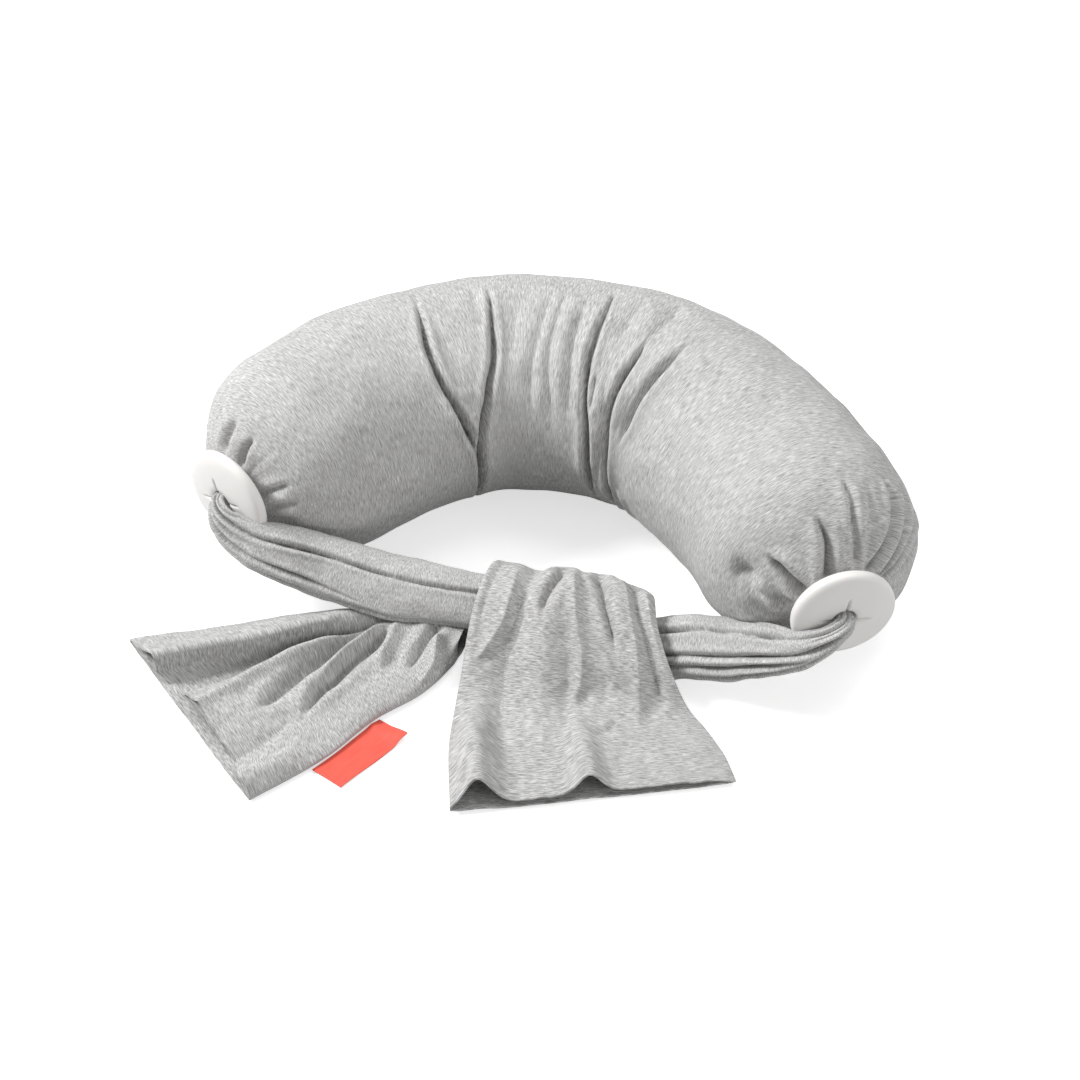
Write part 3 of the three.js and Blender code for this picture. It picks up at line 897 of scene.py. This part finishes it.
def add_tie(name, side, stops, folds, jersey):
    """One tie: a gathered tube along its stops, with long uneven folds."""
    surface_at = tie_surface(stops, side)
    share = np.linspace(0.001, 0.999, TIE_ROWS)
    degrees = 360 * np.arange(TIE_COLUMNS) / TIE_COLUMNS
    path = np.stack(np.meshgrid(share, degrees, indexing="ij"), -1)
    points = surface_at(path.reshape(-1, 2)).reshape(TIE_ROWS, TIE_COLUMNS, 3)
    normals = side * ring_normals(points)
    offset = fold_offsets(points, surface_at, folds)
    uneven = np.clip(0.72 + 0.4 * ripple(points, 70, 31 + side), 0.25, 1.2)
    offset = offset * uneven
    offset += 1.2 * ripple(points, 62, 11 + side) + 0.45 * ripple(points, 24, 14 + side)
    past_hole = smooth_step(share, 0.0, 0.16)[:, None]
    offset *= 0.2 + 0.8 * past_hole
    points = points + normals * offset[..., None]
    points[..., 2] = np.maximum(points[..., 2], TIE_LOWEST)
    length = np.linalg.norm(np.diff(catmull(stops, share)[:, :3], axis=0), axis=1)
    used = np.concatenate([[0], np.cumsum(length)])
    around = np.radians(degrees)[None, :] * TIE_CLOTH_RADIUS
    cloth = np.stack(np.broadcast_arrays(around, used[:, None]), -1).reshape(-1, 2)
    faces = grid_faces(TIE_ROWS, TIE_COLUMNS, True, flip=side < 0)
    tie = make_piece(f"tie_{name}_folds", points.reshape(-1, 3), faces, jersey, cloth)
    solidify(tie, TIE_THICKNESS)
    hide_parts("tie_" + name)
    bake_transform(tie)


# ---- Tails ----

# Each stop: the left edge, the right edge, and the thickness of the two layers there.
FRONT_TAIL = [
    (-22, -195, 10, 88, -193, 10, 9),
    (-27, -194, 34, 96, -192, 32, 9),
    (-33, -199, 54, 103, -197, 50, 9),
    (-37, -216, 62, 110, -210, 59, 9),
    (-39, -246, 58, 119, -236, 53, 9),
    (-39, -276, 38, 136, -264, 38, 9),
    (-37, -306, 16, 157, -284, 14, 9),
    (-34, -336, 7, 178, -300, 6, 9),
    (-26, -380, 6, 198, -322, 6, 10),
    (-8, -438, 6, 213, -346, 6, 10),
]
SIDE_TAIL = [
    (-49, -272, 12, -47, -242, 12, 20),
    (-51, -287, 9, -79, -240, 12, 22),
    (-66, -322, 8, -128, -242, 12, 22),
    (-96, -360, 7, -190, -262, 10, 18),
    (-128, -416, 5, -262, -294, 7, 12),
    (-170, -469, 4, -330, -328, 5, 8),
]
FRONT_HINGE = (40, -228, 50)  # where each tail swings, as in part.mjs
SIDE_HINGE = (-45, -254, 12)
TAIL_ROWS = 160
TAIL_COLUMNS = 250
TAIL_THICKNESS = 1.0
TAIL_LOWEST = (1.6, 0.4)  # heights of the upper and the lower layer where they rest on the floor
TAIL_CLOTH_WIDTH = 240.0  # the knit is laid across each layer as on cloth of this width
HEM_WIDTH = 12.0
HEM_THICKNESS = 1.8

# Folds of the upper layers as (share across from the left edge, share of the length).
FRONT_FOLDS = [
    fold([(0.17, 0.32), (0.185, 0.40), (0.17, 0.50), (0.10, 0.58), (0.05, 0.62)], -4.2, 4.2, 0.3),
    fold([(0.07, 0.26), (0.06, 0.42), (0.05, 0.55)], 4.9, 8.0, 0.2, "start"),
    fold([(0.27, 0.26), (0.26, 0.44), (0.20, 0.62), (0.19, 0.84), (0.2, 0.97)],
         8.0, 13.0, 0.25, "start"),
    fold([(0.44, 0.28), (0.41, 0.36), (0.38, 0.42), (0.37, 0.50)], 9.0, 3.8, 0.35, "start"),
    fold([(0.38, 0.36), (0.39, 0.54), (0.355, 0.70), (0.345, 0.92)], -3.2, 11.0, 0.1),
    fold([(0.47, 0.42), (0.50, 0.56), (0.46, 0.72), (0.43, 0.86)], 3.8, 9.5, 0.2),
    fold([(0.52, 0.34), (0.565, 0.52), (0.56, 0.60), (0.51, 0.69), (0.47, 0.78)],
         -4.6, 3.4, 0.25, "start"),
    fold([(0.63, 0.30), (0.66, 0.48), (0.66, 0.62), (0.60, 0.74)], 4.6, 8.5, 0.2, "start"),
    fold([(0.67, 0.28), (0.70, 0.38), (0.735, 0.47), (0.75, 0.56)], 8.6, 3.2, 0.4, "start"),
    fold([(0.82, 0.30), (0.86, 0.46), (0.84, 0.58), (0.77, 0.70), (0.70, 0.83)],
         -4.8, 4.6, 0.3, "start"),
    fold([(0.86, 0.30), (0.89, 0.42), (0.915, 0.50), (0.90, 0.60), (0.88, 0.70)],
         6.5, 5.5, 0.3, "start"),
    fold([(0.94, 0.34), (0.965, 0.46), (0.97, 0.58)], -3.8, 4.4, 0.3, "start"),
    fold([(0.51, 0.86), (0.57, 0.835), (0.62, 0.80), (0.66, 0.75)], 2.4, 2.4, 0.5),
    fold([(0.62, 0.86), (0.68, 0.90), (0.74, 0.92)], 2.4, 9.0, 0.3),
]
SIDE_FOLDS = [
    fold([(0.93, 0.40), (0.87, 0.56), (0.87, 0.70), (0.86, 0.86), (0.86, 1.0)],
         -12, 10.0, 0.0, "end"),
    fold([(0.88, 0.34), (0.77, 0.55), (0.74, 0.72), (0.69, 0.88), (0.68, 1.0)],
         20, 6.0, 0.0, "end"),
    fold([(0.80, 0.46), (0.71, 0.61), (0.665, 0.75), (0.57, 0.93), (0.53, 1.0)],
         -7.0, 8.0, 0.1, "end"),
    fold([(0.84, 0.36), (0.65, 0.54), (0.55, 0.67), (0.46, 0.80), (0.38, 0.9)], 13.0, 6.0, 0.25),
    fold([(0.80, 0.40), (0.62, 0.49), (0.45, 0.63), (0.39, 0.70)], -8.0, 5.0, 0.2),
    fold([(0.78, 0.38), (0.56, 0.475), (0.38, 0.64), (0.34, 0.71), (0.24, 0.80)], 11.5, 4.2, 0.4),
    fold([(0.80, 0.36), (0.53, 0.44), (0.25, 0.53)], -5.5, 5.0, 0.3),
    fold([(0.64, 0.22), (0.38, 0.33), (0.20, 0.43)], 7.0, 3.4, 0.3, "start"),
    fold([(0.42, 0.24), (0.11, 0.31), (0.03, 0.41)], -6.0, 4.6, 0.3, "start"),
    fold([(0.30, 0.78), (0.24, 0.90), (0.22, 1.0)], 4.6, 8.0, 0.3, "end"),
]


def front_lift(u, v):
    """How far the front tail's hem rises, is drawn back and leans over: two upright waves."""
    first = np.exp(-(((u - 0.10) / 0.07) ** 2))
    second = np.exp(-(((u - 0.49) / 0.06) ** 2))
    rise = (24 * first + 16 * second) * smooth_step(v, 0.70, 1.0)
    pull = (9 * first + 7 * second) * smooth_step(v, 0.5, 1.0)
    return rise, pull, np.zeros_like(u)


def side_lift(u, v):
    """The same for the side tail's hem: the raised flap, a wave and the curled lower corner."""
    flap = smooth_step(u, 0.74, 0.82)
    wave = np.exp(-(((u - 0.46) / 0.1) ** 2))
    corner = np.exp(-(((u - 0.07) / 0.06) ** 2))
    near = smooth_step(v, 0.74, 1.0)
    back = smooth_step(u, 0.05, 0.25) * smooth_step(1 - u, 0.22, 0.34)
    rise = (3 * flap + 8 * wave + 12 * corner) * near
    pull = 11 * back * smooth_step(v, 0.5, 1.0)
    # The flap and the ridge below it lean over the valleys in front of them.
    crest = np.interp(v, (0.2, 0.36, 0.6, 0.75, 0.93, 1.0), (0.9, 0.86, 0.70, 0.66, 0.57, 0.54))
    over = 15 * np.exp(-(((u - 0.845) / 0.062) ** 2)) + 5 * np.exp(-(((u - crest) / 0.06) ** 2))
    over = over * smooth_step(v, 0.38, 0.66)
    return rise + 0.6 * over, pull, over


def tail_surface(stops):
    """A function from rows of (share across, share of the length) to points of the bare tail."""

    def surface_at(path):
        stop = catmull(stops, path[:, 1])
        return stop[:, :3] + (stop[:, 3:6] - stop[:, :3]) * path[:, :1]

    return surface_at


def tail_columns():
    """Each column's share across the tail, crowded at its edges, and which lie on the upper layer.

    The columns run over the upper layer and back under the lower one.
    """
    top = TAIL_COLUMNS // 2
    turn = math.pi * (np.arange(TAIL_COLUMNS) + 0.5) / top
    crowded = 0.5 - 0.5 * np.cos(turn)
    even = np.where(turn < math.pi, turn / math.pi, 2 - turn / math.pi)
    upper = np.arange(TAIL_COLUMNS) < top
    return 0.5 * crowded + 0.5 * even, upper[None, :]


def tail_grid(stops, folds, lift):
    """Grid of points of a flat tube of cloth, its cloth places and the length used by each row."""
    u, upper = tail_columns()
    v = np.linspace(0, 1, TAIL_ROWS)
    row = catmull(stops, v)
    left = row[:, None, :3]
    right = row[:, None, 3:6]
    centre = (row[:, :3] + row[:, 3:6]) / 2
    middle = left + (right - left) * u[None, :, None]
    ahead = np.gradient(centre, axis=0)[:, None, :]
    normal = unit(np.broadcast_to(np.cross(right - left, ahead), middle.shape))
    normal = normal * np.sign(normal[-1, 0, 2])  # up, where the tail lies on the floor

    half = 0.5 * row[:, None, 6] * np.sqrt(np.maximum(1 - np.abs(2 * u - 1)[None, :] ** 5, 0.02))
    edge = smooth_step(np.minimum(u, 1 - u), 0.0, 0.05)[None, :]
    offset = fold_offsets(middle, tail_surface(stops), folds) * (0.25 + 0.75 * edge)
    wrinkle = 0.8 * ripple(middle, 52, 21) + 0.35 * ripple(middle, 19, 22)
    height = np.where(upper, half + offset + wrinkle, -half + 0.5 * wrinkle)
    points = middle + normal * height[..., None]

    rise, pull, over = lift(*np.broadcast_arrays(u[None, :], v[:, None]))
    points[..., 2] += rise * np.where(upper, 1.0, 0.12)
    moved = unit(left - right) * over[..., None] - unit(ahead) * pull[..., None]
    points += moved * upper[..., None]
    points[..., 2] = above_floor(points[..., 2], np.where(upper, *TAIL_LOWEST), soft=2.0)

    run = np.linalg.norm(np.diff(centre, axis=0), axis=1)
    used = np.concatenate([[0], np.cumsum(run)])
    across = TAIL_CLOTH_WIDTH * np.where(upper, u[None, :], 2 - u[None, :])
    cloth = np.stack(np.broadcast_arrays(across, used[:, None]), -1)
    return points, cloth, used


def add_tail(name, stops, folds, lift, jersey, hem_jersey, hinge, flip):
    """One tail as two pieces: its cloth and its thicker hem, which goes with the tail's body.

    flip turns its faces over, where the upper layer's normals would point down.
    """
    points, cloth, used = tail_grid(stops, folds, lift)
    hem_row = int(np.searchsorted(used, used[-1] - HEM_WIDTH))
    for part, rows, material, slot, thickness in (
        ("", slice(0, hem_row + 1), jersey, "jersey", TAIL_THICKNESS),
        ("_hem", slice(hem_row, TAIL_ROWS), hem_jersey, "jersey_hem", HEM_THICKNESS),
    ):
        faces = grid_faces(len(points[rows]), TAIL_COLUMNS, True, flip)
        flat = points[rows].reshape(-1, 3)
        places = cloth[rows].reshape(-1, 2)
        piece = make_piece(f"tail_{name}{part}_cloth", flat, faces, material, places)
        solidify(piece, thickness)
        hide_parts(f"tail_{name}{part}")
        if part:
            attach(piece, "tail_" + name)
        else:
            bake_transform(piece)


# ---- Label ----

LABEL_LENGTH = 77.0
LABEL_WIDTH = 31.0
LABEL_THICKNESS = 1.3
LABEL_HEIGHT = 2.6
LABEL_TUCK = 1.5  # width that is sewn in under the tail's edge
LABEL_FROM = np.array([-92.5, -356.0])
LABEL_TO = np.array([-129.0, -421.5])
LABEL_OUT = np.array([0.925, -0.380])
LABEL_ROWS = 60
LABEL_COLUMNS = 22


def add_label(tape):
    """The blank side label: a tape with a curled corner and slight waves."""
    rows = np.linspace(0, 1, LABEL_ROWS)
    columns = np.linspace(0, 1, LABEL_COLUMNS)
    a, b = np.meshgrid(rows, columns, indexing="ij")
    curl = 4.0 * smooth_step(-a, -0.22, 0.0) * smooth_step(b, 0.3, 1.0)
    curl += 1.6 * np.exp(-(((a - 0.12) / 0.06) ** 2)) + 0.8 * np.sin(7 * a + 2 * b)
    along = unit(LABEL_TO - LABEL_FROM) * LABEL_LENGTH * a[..., None]
    out = LABEL_OUT * (LABEL_WIDTH * b[..., None] - LABEL_TUCK)
    points = np.concatenate([LABEL_FROM + along + out, (LABEL_HEIGHT + curl)[..., None]], -1)
    cloth = np.stack([a * LABEL_LENGTH, b * LABEL_WIDTH], -1).reshape(-1, 2)
    faces = grid_faces(LABEL_ROWS, LABEL_COLUMNS, False, flip=True)
    label = make_piece("side_label_tape", points.reshape(-1, 3), faces, tape, cloth)
    solidify(label, LABEL_THICKNESS)
    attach(label, "side_label")
    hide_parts("side_label")


# ---- Finish ----

add_camera()
add_stage()
JERSEY = jersey_material("heather_jersey")
# The tails' jersey copies are darker, as painted shade for flat cloth that catches more light than
# the tube, and their streaks are sharper.
SHADED_TAIL_JERSEY = jersey_material("heather_jersey_tail_painted_shade", 0.92, 0.07)
HEM_JERSEY = jersey_material("heather_jersey_hem", 0.89, 0.07)
LINER = liner_material()
BEADS = bead_material()
SILICONE = silicone_material()
add_tube(JERSEY, LINER, BEADS)
for disc_side, disc_way in SIDES.items():
    add_disc(disc_side, disc_way, SILICONE)
add_tie("left", -1, LEFT_TIE, LEFT_TIE_FOLDS, JERSEY)
add_tie("right", 1, RIGHT_TIE, RIGHT_TIE_FOLDS, JERSEY)
TAIL_JERSEYS = (SHADED_TAIL_JERSEY, HEM_JERSEY)
add_tail("front", FRONT_TAIL, FRONT_FOLDS, front_lift, *TAIL_JERSEYS, FRONT_HINGE, True)
add_tail("side", SIDE_TAIL, SIDE_FOLDS, side_lift, *TAIL_JERSEYS, SIDE_HINGE, False)
add_label(label_material())
